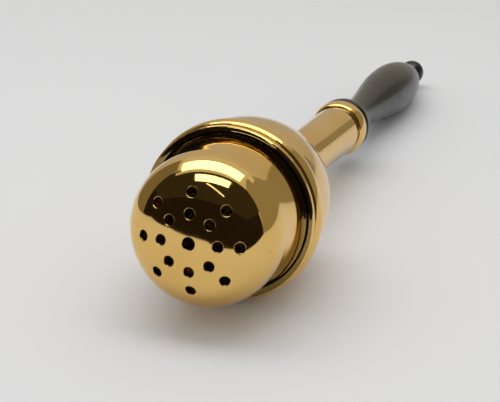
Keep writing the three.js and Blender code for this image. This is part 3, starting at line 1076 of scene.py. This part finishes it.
def spread(tree, value, low, high, new_low=0.0, new_high=1.0):
    """Maps a value from one range to another, and holds it at the ends."""
    return add_node(
        tree,
        "ShaderNodeMapRange",
        {"Value": value, "From Min": low, "From Max": high, "To Min": new_low, "To Max": new_high},
        clamp=True,
    ).outputs["Result"]


def times(tree, first, second):
    return add_node(tree, "ShaderNodeMath", {0: first, 1: second}, operation="MULTIPLY").outputs["Value"]


def in_groove(tree, rings, start, end, below, edge):
    """1 on what lies between two distances along the axis and nearer to it than a radius, 0 elsewhere."""
    parts = add_node(tree, "ShaderNodeSeparateXYZ", {"Vector": rings})
    radius, y = parts.outputs["X"], parts.outputs["Y"]
    stretch = times(tree, spread(tree, y, start - edge, start), spread(tree, y, end, end + edge, 1, 0))
    return times(tree, stretch, spread(tree, radius, below - edge, below, 1, 0))


def specks(tree, place, spacing, radius, share):
    """1 in the middle of small round specks, 0 around them. Only a share of the cells has one."""
    scatter = add_node(tree, "ShaderNodeTexVoronoi", {"Vector": place, "Scale": 1 / spacing})
    spot = spread(tree, scatter.outputs["Distance"], 0.5 * radius / spacing, radius / spacing, 1, 0)
    chance = add_node(tree, "ShaderNodeSeparateColor", {"Color": scatter.outputs["Color"]}).outputs["Red"]
    chosen = add_node(tree, "ShaderNodeMath", {0: chance, 1: share}, operation="LESS_THAN").outputs["Value"]
    return times(tree, spot, chosen)


def blend_colours(tree, share, first, second):
    mixed = add_node(tree, "ShaderNodeMix", {0: share, 6: first, 7: second}, data_type="RGBA")
    return mixed.outputs[2]


def bumped(tree, height, depth, normal=None):
    """A bump of this depth in metres."""
    inputs = {"Height": height, "Strength": 1.0, "Distance": depth}
    if normal:
        inputs["Normal"] = normal
    return add_node(tree, "ShaderNodeBump", inputs).outputs["Normal"]


def finished(material, tree, **inputs):
    """Gives the material its surface. An input's name is the socket's, with _ for a space."""
    sockets = {name.replace("_", " "): value for name, value in inputs.items()}
    surface = add_node(tree, "ShaderNodeBsdfPrincipled", sockets)
    add_node(tree, "ShaderNodeOutputMaterial", {"Surface": surface.outputs["BSDF"]})
    return material


def colours(context):
    return context.scene.sprinkler_colours


def polished_brass(context, d):
    """Spun brass, buffed to a mirror: warm reflections that swim a little, faint rings left by the
    buffing wheel, a pit here and there that the wheel could not reach, and in the coves and grooves
    a pale olive colour that is painted shade and reflection."""
    name = "Mirror-Polished Brass"
    if name in bpy.data.materials:
        return bpy.data.materials[name]
    material, tree = blank_material(name)
    c = colours(context)
    place = along_axis(tree, d)
    rings = round_axis(tree, place, 2 * MM)

    cloud = noise(tree, place, 14 * MM)
    buffed = blend_colours(tree, spread(tree, cloud, 0.35, 0.7), tuple(c.brass), tuple(c.brass_deep))
    edge = 0.1 * MM
    # Painted shade and reflection: the cap's cove, the flange's dish and groove and the ferrule's groove take
    # the pale olive brass.
    cove = in_groove(tree, rings, d.drum_end + edge, d.bead_start, d.lip_radius - LIP_ROUND, edge)
    groove = in_groove(tree, rings, d.ferrule_shoulder, d.ferrule_bead_start, d.socket_rear - edge, edge)
    hollow_shade = add_node(tree, "ShaderNodeMath", {0: cove, 1: groove}, operation="MAXIMUM").outputs["Value"]
    body = blend_colours(tree, hollow_shade, buffed, tuple(c.brass_hollow_shade))
    pits = specks(tree, place, 3.4 * MM, 0.2 * MM, 0.09)
    base = blend_colours(tree, pits, body, tuple(c.tarnish))

    # Hairlines of the buffing wheel, far finer on the real piece, drawn 0.5 mm wide so that they show
    hairlines = noise(tree, rings, 0.5 * MM, 3.0, 0.6)
    film = noise(tree, place, 7 * MM, 3.0)
    gloss = add_node(
        tree,
        "ShaderNodeMath",
        {0: spread(tree, hairlines, 0.4, 0.8, 0.0, 0.03), 1: spread(tree, film, 0.45, 0.75, 0.045, 0.085)},
        operation="ADD",
    ).outputs["Value"]

    swim = bumped(tree, noise(tree, place, 9 * MM, 1.0), 0.03 * MM)
    scratched = bumped(tree, hairlines, 0.0006 * MM, swim)
    pitted = bumped(tree, spread(tree, pits, 0, 1, 1, 0), 0.05 * MM, scratched)
    return finished(material, tree, Base_Color=base, Metallic=1.0, Roughness=gloss, Normal=pitted)


def turned_brass(context, d):
    """Brass as it came off the lathe: duller than the outside, with the rings of the tool's feed."""
    name = "Turned Brass"
    if name in bpy.data.materials:
        return bpy.data.materials[name]
    material, tree = blank_material(name)
    c = colours(context)
    place = along_axis(tree, d)
    rings = round_axis(tree, place, 0.5 * MM)
    stain = spread(tree, noise(tree, place, 5 * MM, 4.0), 0.45, 0.75)
    base = blend_colours(tree, stain, tuple(c.turned_brass), tuple(c.tarnish))
    # A feed of 0.2 mm a turn
    feed = add_node(
        tree,
        "ShaderNodeTexWave",
        {"Vector": rings, "Scale": 1 / (0.2 * MM) / 20, "Distortion": 0.6, "Detail": 2.0},
        wave_type="BANDS",
        bands_direction="Y",
    ).outputs["Fac"]
    gloss = spread(tree, stain, 0, 1, 0.24, 0.5)
    return finished(
        material, tree, Base_Color=base, Metallic=1.0, Roughness=gloss, Normal=bumped(tree, feed, 0.008 * MM)
    )


def zinc_plated_steel(context, d):
    """Zinc-plated steel: pale grey, faintly mottled by the plating."""
    material, tree = blank_material("Zinc-Plated Steel")
    c = colours(context)
    place = along_axis(tree, d)
    mottle = noise(tree, place, 1.5 * MM, 5.0, 0.6)
    base = blend_colours(tree, spread(tree, mottle, 0.35, 0.7), tuple(c.steel), linear("#9DA2A8"))
    gloss = spread(tree, mottle, 0.3, 0.7, 0.26, 0.42)
    return finished(
        material, tree, Base_Color=base, Metallic=1.0, Roughness=gloss, Normal=bumped(tree, mottle, 0.01 * MM)
    )


def ebonised_wood(context, d):
    """Close-grained wood, stained black and gloss polished: nearly black, with a thin brown grain
    along the handle, a skin of polish that mirrors the room, and fine ripples from the turning."""
    material, tree = blank_material("Ebonised Gloss Wood")
    c = colours(context)
    place = along_axis(tree, d)
    # Grain 0.6 mm wide, drawn out along the axis
    stretched = add_node(
        tree, "ShaderNodeMapping", {"Vector": place, "Scale": (1.0, 0.045, 1.0)}, vector_type="POINT"
    ).outputs["Vector"]
    grain = noise(tree, stretched, 0.6 * MM, 4.0, 0.65)
    figure = noise(tree, stretched, 3.5 * MM, 2.0)
    base = blend_colours(tree, spread(tree, grain, 0.5, 0.75), tuple(c.ebony), tuple(c.ebony_grain))
    worn = blend_colours(tree, spread(tree, figure, 0.55, 0.8, 0, 0.5), base, tuple(c.ebony_grain))
    gloss = spread(tree, noise(tree, place, 6 * MM, 3.0), 0.35, 0.7, 0.2, 0.3)
    ripple = bumped(tree, noise(tree, round_axis(tree, place, 1 * MM), 1.6 * MM, 1.0), 0.004 * MM)
    return finished(
        material,
        tree,
        Base_Color=worn,
        Roughness=gloss,
        IOR=1.45,
        Normal=bumped(tree, grain, 0.006 * MM, ripple),
    )


def oiled_leather(context, d):
    """Oiled leather, cut from a hide: brown, matt, with a fine pebbled grain."""
    material, tree = blank_material("Oiled Leather")
    c = colours(context)
    place = along_axis(tree, d)
    pebbles = cells(tree, place, 0.5 * MM)
    soak = noise(tree, place, 4 * MM, 3.0)
    base = blend_colours(tree, spread(tree, soak, 0.35, 0.7), tuple(c.leather), linear("#4A2B18"))
    gloss = spread(tree, soak, 0.3, 0.7, 0.55, 0.75)
    return finished(
        material, tree, Base_Color=base, Roughness=gloss, Normal=bumped(tree, pebbles, 0.05 * MM)
    )


def cellulose(context, d):
    """Regenerated cellulose: a matt, yellow, foamed mass, with painted shade darkening the inside of its
    pores.
    """
    material, tree = blank_material("Cellulose Sponge")
    c = colours(context)
    place = along_axis(tree, d)
    # Pores 1.2 mm wide, with finer ones between them
    deep = times(tree, cells(tree, place, 1.6 * MM), cells(tree, place, 0.6 * MM))
    # Painted shade: the colour is darkest in the middle of each pore, where the bump sinks deepest.
    base = blend_colours(tree, spread(tree, deep, 0.02, 0.2), linear("#8A6F35"), tuple(c.sponge))
    return finished(
        material,
        tree,
        Base_Color=base,
        Roughness=0.9,
        Subsurface_Weight=0.15,
        Subsurface_Radius=(0.8 * MM, 0.6 * MM, 0.3 * MM),
        Normal=bumped(tree, deep, 0.5 * MM),
    )


# Studio. Its cards only show in what mirrors them.


def glow(name, hex_value, strength):
    """A card's own light, so that its brightness in the brass is the one written here."""
    material, tree = blank_material(name)
    light = add_node(tree, "ShaderNodeEmission", {"Color": linear(hex_value), "Strength": strength})
    add_node(tree, "ShaderNodeOutputMaterial", {"Surface": light.outputs["Emission"]})
    return material


def card(name, material, *corners):
    """A flat card with these corners, which only shows in what mirrors it."""
    bpy.ops.object.select_all(action="DESELECT")
    bpy.ops.mesh.primitive_plane_add(size=1)
    made = bpy.context.object
    made.name = made.data.name = name
    bpy.ops.object.mode_set(mode="EDIT")
    bpy.ops.mesh.merge(type="CENTER")
    bpy.ops.transform.translate(value=corners[0])
    for start, end in zip(corners, corners[1:]):
        bpy.ops.mesh.extrude_vertices_move(TRANSFORM_OT_translate={"value": Vector(end) - Vector(start)})
    bpy.ops.mesh.select_all(action="SELECT")
    bpy.ops.mesh.edge_face_add()
    bpy.ops.object.mode_set(mode="OBJECT")
    made.data.materials.append(material)
    made.visible_camera = False
    made.visible_diffuse = False
    made.visible_shadow = False
    made.visible_transmission = False
    made.visible_volume_scatter = False
    made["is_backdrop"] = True
    return made


class SPRINKLER_OT_stage(bpy.types.Operator):
    """Pale floor and room, a light tent that only mirrors show, a soft overhead light and the camera"""

    bl_idname = "sprinkler.stage"
    bl_label = "Studio"

    def execute(self, context):
        self.floor(context)
        self.tent()
        self.world(context)
        self.key_light()
        self.camera(context)
        return {"FINISHED"}

    def floor(self, context):
        bpy.ops.object.select_all(action="DESELECT")
        bpy.ops.mesh.primitive_plane_add(size=FLOOR_SIZE, location=(0, 0, min(0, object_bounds()[0][2])))
        floor = context.object
        floor.name = floor.data.name = "pale_floor"
        material, tree = blank_material("Matt White Board")
        place = add_node(tree, "ShaderNodeTexCoord").outputs["Object"]
        # Painted shade: the board's colour turns a little greyer away from the camera, standing in for light
        # that falls off towards the back
        away = add_node(tree, "ShaderNodeSeparateXYZ", {"Vector": place}).outputs["Y"]
        far = linear(FLOOR_FAR_SHADE)
        base = blend_colours(tree, spread(tree, away, -0.2, 0.5), tuple(colours(context).floor), far)
        finished(material, tree, Base_Color=base, Roughness=0.85)
        floor.data.materials.append(material)
        floor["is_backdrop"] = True

    def tent(self):
        """A light tent round the head: its ceiling lamp, its side walls and, in front, its dark opening.
        Places are shares of the ceiling's height above the middle of the head."""
        high = TENT_HEIGHT

        def place(x, y, z):
            return HEAD_MIDDLE + high * Vector((x, y, z))

        def ceiling(name, material, corners, level=1.0):
            return card(name, material, *(place(x, y, level) for x, y in corners))

        lamp = glow("Ceiling Lamp", "#FFFFF4", 3.6)
        front = ((-0.74, -0.04), (0.02, 0.085), (0.55, 0.2))
        ceiling("ceiling_lamp", lamp, (*front, (0.53, 0.84), (-0.83, 0.57)))
        edge = ((-0.93, -0.23), (0.02, -0.065), (0.83, 0.12), (0.83, 0.26), *reversed(front), (-0.93, -0.08))
        ceiling("lamp_edge", glow("Lamp Edge", "#FFFBEA", 0.62), edge)
        back = ((-0.92, 0.545), (0.53, 0.84), (0.86, 0.9), (0.83, 1.44), (-0.99, 1.14))
        ceiling("ceiling_back", glow("Tent Cloth, Ceiling", "#FFFFFF", 0.64), back)
        ceiling("room_lamp", lamp, ((-0.38, -0.61), (0.385, -0.455), (0.39, -0.115), (-0.37, -0.255)), 0.98)
        line = ((-0.135, -0.67), (0.355, -1.09), (0.38, -1.03), (-0.105, -0.615))
        ceiling("lamp_rail", glow("Lamp Rail", "#FFFFF4", 2.0), line, 0.98)

        cloth = glow("Tent Cloth, Side", "#FFF6D6", 0.3)
        shaded = glow("Tent Cloth, Shaded Side", "#FFF2CC", 0.2)
        side = ((-0.24, -0.01), (-0.08, 0.51), (0.08, 1.03), (0.94, 0.845), (0.55, -0.04))
        card("left_wall", shaded, *(place(-0.9, y, z) for y, z in side))
        side = ((-0.07, -0.035), (0.015, 0.5), (0.13, 1.03), (0.85, 1.32), (1.88, 1.28), (2.6, 0.75))
        side += ((3.3, 0.45), (3.3, -0.04))
        card("right_wall", cloth, *(place(0.85, y, z) for y, z in side))

        dark = glow("Dark Room", "#4A4436", 0.5)
        darker = glow("Dark Room, Low", "#3A3228", 0.35)
        # The dark part hangs just above the lamps.
        above = 1.02
        ceiling("dark_ceiling", dark, ((-2.6, -2.2), (2.6, -2.2), (2.6, 0.3), (-2.6, -0.1)), above)
        floor = -HEAD_MIDDLE.z / high
        corners = ((-2.6, -0.06), (-2.6, -2.2), (2.6, -2.2), (2.6, -0.2))
        for i, (start, end) in enumerate(zip(corners, corners[1:])):
            card(
                f"dark_wall_{i + 1}",
                darker,
                place(*start, floor),
                place(*end, floor),
                place(*end, above),
                place(*start, above),
            )

        # The floor's far edge, as the dome mirrors it
        edge = ((-0.104, -0.287), (-0.044, -0.231), (-0.022, -0.238), (-0.006, -0.22), (0.041, -0.201))
        edge += ((0.063, -0.175), (0.153, -0.17), (0.932, -0.117))
        outer = ((1.5, -0.45), (1.5, -1.4), (-1.5, -1.4), (-1.5, -1.1))
        card("dark_apron", darker, *(Vector((x, y, APRON_LIFT)) for x, y in edge + outer))

    def world(self, context):
        """An even light on all matt things, and the pale cloth of the tent's back in all that mirrors it."""
        world = bpy.data.worlds.new("Pale Room")
        context.scene.world = world
        world.use_nodes = True
        tree = world.node_tree
        tree.nodes.clear()
        path = add_node(tree, "ShaderNodeLightPath")
        mirrored = add_node(
            tree,
            "ShaderNodeMath",
            {0: path.outputs["Is Glossy Ray"], 1: path.outputs["Is Transmission Ray"]},
            operation="MAXIMUM",
        ).outputs["Value"]
        direction = add_node(tree, "ShaderNodeTexCoord").outputs["Generated"]
        height = add_node(tree, "ShaderNodeSeparateXYZ", {"Vector": direction}).outputs["Z"]
        cloth = spread(tree, height, 0, 0.8, 0.45, 0.66)
        even = add_node(tree, "ShaderNodeBackground", {"Color": (1, 1, 1, 1), "Strength": WORLD_LIGHT})
        back = add_node(tree, "ShaderNodeBackground", {"Color": linear("#FFF6E0"), "Strength": cloth})
        seen = add_node(tree, "ShaderNodeBackground", {"Color": linear("#D6D6D6")})
        lit = add_node(tree, "ShaderNodeMixShader", {0: mirrored, 1: even.outputs[0], 2: back.outputs[0]})
        direct = path.outputs["Is Camera Ray"]
        shown = add_node(tree, "ShaderNodeMixShader", {0: direct, 1: lit.outputs[0], 2: seen.outputs[0]})
        add_node(tree, "ShaderNodeOutputWorld", {"Surface": shown.outputs[0]})

    def key_light(self):
        bpy.ops.object.light_add(type="AREA", location=(-0.1, 0, 1.1))
        key = bpy.context.object
        key.name = "key_light"
        key.data.shape = "RECTANGLE"
        key.data.size = 1.5
        key.data.size_y = 0.45
        key.data.energy = 4.6
        key.visible_glossy = False

    def camera(self, context):
        data = bpy.data.cameras.new("photo_camera")
        data.sensor_fit = "HORIZONTAL"
        data.sensor_width = 36
        data.lens = CAMERA_LENS
        camera = bpy.data.objects.new("photo_camera", data)
        context.scene.collection.objects.link(camera)
        around, down = CAMERA_AZIMUTH, CAMERA_DOWN
        forward = Vector(
            (-math.sin(around) * math.cos(down), math.cos(around) * math.cos(down), -math.sin(down))
        )
        camera.location = CAMERA_PLACE
        camera.rotation_euler = forward.to_track_quat("-Z", "Y").to_euler()
        data.clip_start = 0.01
        data.clip_end = 20
        context.scene.camera = camera
        context.scene.view_settings.view_transform = "Standard"


class SPRINKLER_PT_panel(bpy.types.Panel):
    """Lists the steps that make the sprinkler, with its sizes and colours"""

    bl_idname = "SPRINKLER_PT_panel"
    bl_label = "Holy Water Sprinkler"
    bl_space_type = "VIEW_3D"
    bl_region_type = "UI"
    bl_category = "Sprinkler"

    def draw(self, context):
        for operator in OPERATORS:
            self.layout.operator(operator.bl_idname)
        for kind, group in (
            (SprinklerHeadSizes, context.scene.sprinkler_head),
            (SprinklerHandleSizes, context.scene.sprinkler_handle),
            (SprinklerColours, context.scene.sprinkler_colours),
        ):
            for name in kind.__annotations__:
                self.layout.prop(group, name)


OPERATORS = (
    SPRINKLER_OT_cap,
    SPRINKLER_OT_thread_ring,
    SPRINKLER_OT_washer,
    SPRINKLER_OT_flange,
    SPRINKLER_OT_bowl,
    SPRINKLER_OT_sponge,
    SPRINKLER_OT_neck_boss,
    SPRINKLER_OT_socket_tube,
    SPRINKLER_OT_ferrule,
    SPRINKLER_OT_stud,
    SPRINKLER_OT_handle,
    SPRINKLER_OT_stage,
)
GROUPS = (SprinklerHeadSizes, SprinklerHandleSizes, SprinklerColours)


def register():
    for kind in (*GROUPS, *OPERATORS, SPRINKLER_PT_panel):
        bpy.utils.register_class(kind)
    bpy.types.Scene.sprinkler_head = bpy.props.PointerProperty(type=SprinklerHeadSizes)
    bpy.types.Scene.sprinkler_handle = bpy.props.PointerProperty(type=SprinklerHandleSizes)
    bpy.types.Scene.sprinkler_colours = bpy.props.PointerProperty(type=SprinklerColours)


def unregister():
    del bpy.types.Scene.sprinkler_colours
    del bpy.types.Scene.sprinkler_handle
    del bpy.types.Scene.sprinkler_head
    for kind in reversed((*GROUPS, *OPERATORS, SPRINKLER_PT_panel)):
        bpy.utils.unregister_class(kind)


def main():
    register()
    bpy.ops.sprinkler.cap()
    bpy.ops.sprinkler.thread_ring()
    bpy.ops.sprinkler.washer()
    bpy.ops.sprinkler.flange()
    bpy.ops.sprinkler.bowl()
    bpy.ops.sprinkler.sponge()
    bpy.ops.sprinkler.neck_boss()
    bpy.ops.sprinkler.socket_tube()
    bpy.ops.sprinkler.ferrule()
    bpy.ops.sprinkler.stud()
    bpy.ops.sprinkler.handle()
    bpy.ops.sprinkler.stage()


if __name__ == "__main__":
    main()
